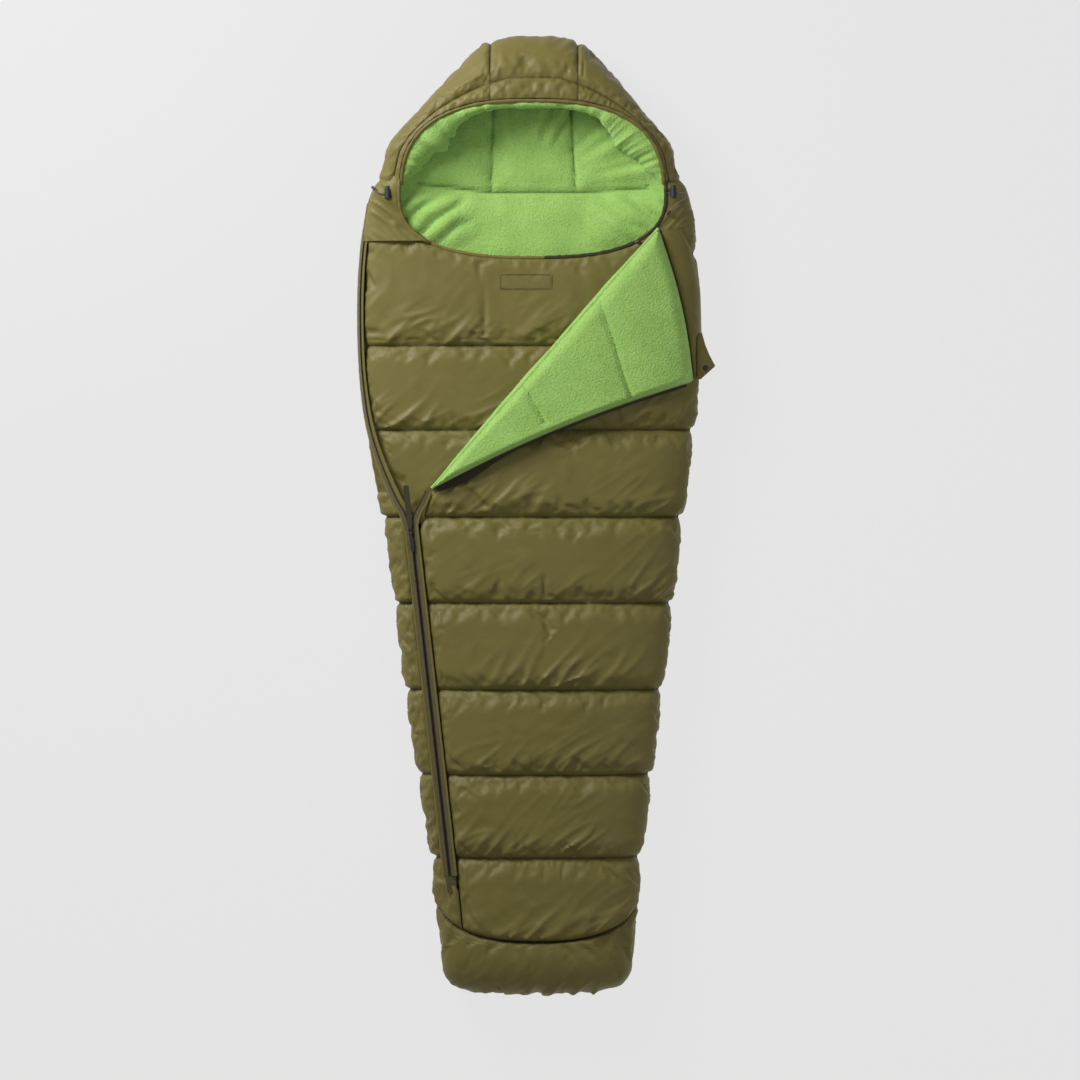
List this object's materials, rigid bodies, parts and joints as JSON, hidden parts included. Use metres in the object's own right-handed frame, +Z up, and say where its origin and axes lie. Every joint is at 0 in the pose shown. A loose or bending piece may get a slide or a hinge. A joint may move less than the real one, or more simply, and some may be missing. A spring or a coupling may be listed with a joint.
{
  "type": "mummy sleeping bag",
  "caption": "Insulated mummy sleeping bag lying open on its back, with a padded hood, a side zip and the front's upper corner folded over",
  "frame": {"origin": "On the floor, under the middle of the bag's bounding box", "axes": "+Y runs from the foot to the hood, +Z is up, and the zip is on the -X side"},
  "size_m": [0.8087, 2.15, 0.1615],
  "materials": {
    "shell": "olive ripstop shell",
    "fleece": "green brushed fleece",
    "fill": "white batting",
    "binding": "dark woven binding",
    "tape": "dark brown zip tape",
    "coil": "nylon coil",
    "metal": "die-cast slider, steel spring",
    "plastic": "black moulded plastic",
    "cord": "braided cord",
    "label": "blank woven label"
  },
  "bodies": {
    "root": {"back_fill": "fill", "back_lining": "fleece", "back_shell": "shell", "foot_fill": "fill", "foot_lining": "fleece", "foot_shell": "shell", "front_fill": "fill", "front_lining": "fleece", "front_shell": "shell", "hood_back_lining": "fleece", "hood_centre_shell": "shell", "hood_fill": "fill", "hood_hem": "binding", "hood_left_shell": "shell", "hood_lining": "fleece", "hood_right_shell": "shell", "inner_panel_fill": "fill", "inner_panel_lining": "fleece", "inner_panel_shell": "shell", "label_patch": "label", "left_cord_end": "plastic", "left_cord_tail": "cord", "neck_binding": "binding", "right_cord_end": "plastic", "right_cord_tail": "cord", "side_fill": "fill", "side_lining": "fleece", "side_shell": "shell", "zip_coil_left": "coil", "zip_coil_right": "coil", "zip_draft_tube": "fleece", "zip_end_patch": "tape", "zip_tape_left": "tape", "zip_tape_right": "tape", "zip_top_stop": "metal"},
    "flap": {"flap_shell": "shell", "flap_fill": "fill", "flap_lining": "fleece", "flap_neck_hem": "shell", "flap_zip_tape": "tape", "flap_zip_coil": "coil"},
    "tab": {"closure_tab": "shell", "tab_snap": "plastic"},
    "slider": {"slider_body": "metal"},
    "outer_puller": {"outer_puller": "plastic"},
    "long_puller": {"long_puller": "tape"},
    "right_lock": {"right_lock_body": "plastic", "right_lock_spring": "metal"},
    "right_button": {"right_lock_button": "plastic"},
    "left_lock": {"left_lock_body": "plastic", "left_lock_spring": "metal"},
    "left_button": {"left_lock_button": "plastic"}
  },
  "joints": [
    {"name": "flap_fold", "type": "hinge", "parent": "root", "child": "flap", "pos_m": [0.018, 0.349, 0.1275], "axis": [-0.6576, -0.7534, 0], "range_deg": [0, 180]},
    {"name": "tab_flip", "type": "hinge", "parent": "flap", "child": "tab", "pos_m": [0.3585, 0.33, 0.0905], "axis": [0, -1, 0], "range_deg": [0, 90]},
    {"name": "zip_slide", "type": "slide", "parent": "root", "child": "slider", "axis": [0.1107, -0.9939, 0], "range_m": [0, 0.74]},
    {"name": "outer_puller_swing", "type": "hinge", "parent": "slider", "child": "outer_puller", "pos_m": [-0.28244, -0.04318, 0.11183], "axis": [-0.9504, -0.1059, -0.2924], "range_deg": [0, 85]},
    {"name": "long_puller_swing", "type": "hinge", "parent": "slider", "child": "long_puller", "pos_m": [-0.28348, -0.03223, 0.11126], "axis": [0.9504, 0.1059, 0.2924], "range_deg": [0, 85]},
    {"name": "right_lock_slide", "type": "slide", "parent": "root", "child": "right_lock", "axis": [1, 0, 0], "range_m": [0, 0.01]},
    {"name": "right_button_press", "type": "slide", "parent": "right_lock", "child": "right_button", "axis": [0, -1, 0], "range_m": [0, 0.0035], "stiffness_N_per_m": 500, "springref_m": -0.002, "deforming": ["right_lock_spring"]},
    {"name": "left_lock_slide", "type": "slide", "parent": "root", "child": "left_lock", "axis": [-1, 0, 0], "range_m": [0, 0.009]},
    {"name": "left_button_press", "type": "slide", "parent": "left_lock", "child": "left_button", "axis": [0, -1, 0], "range_m": [0, 0.0035], "stiffness_N_per_m": 500, "springref_m": -0.002, "deforming": ["left_lock_spring"]}
  ]
}
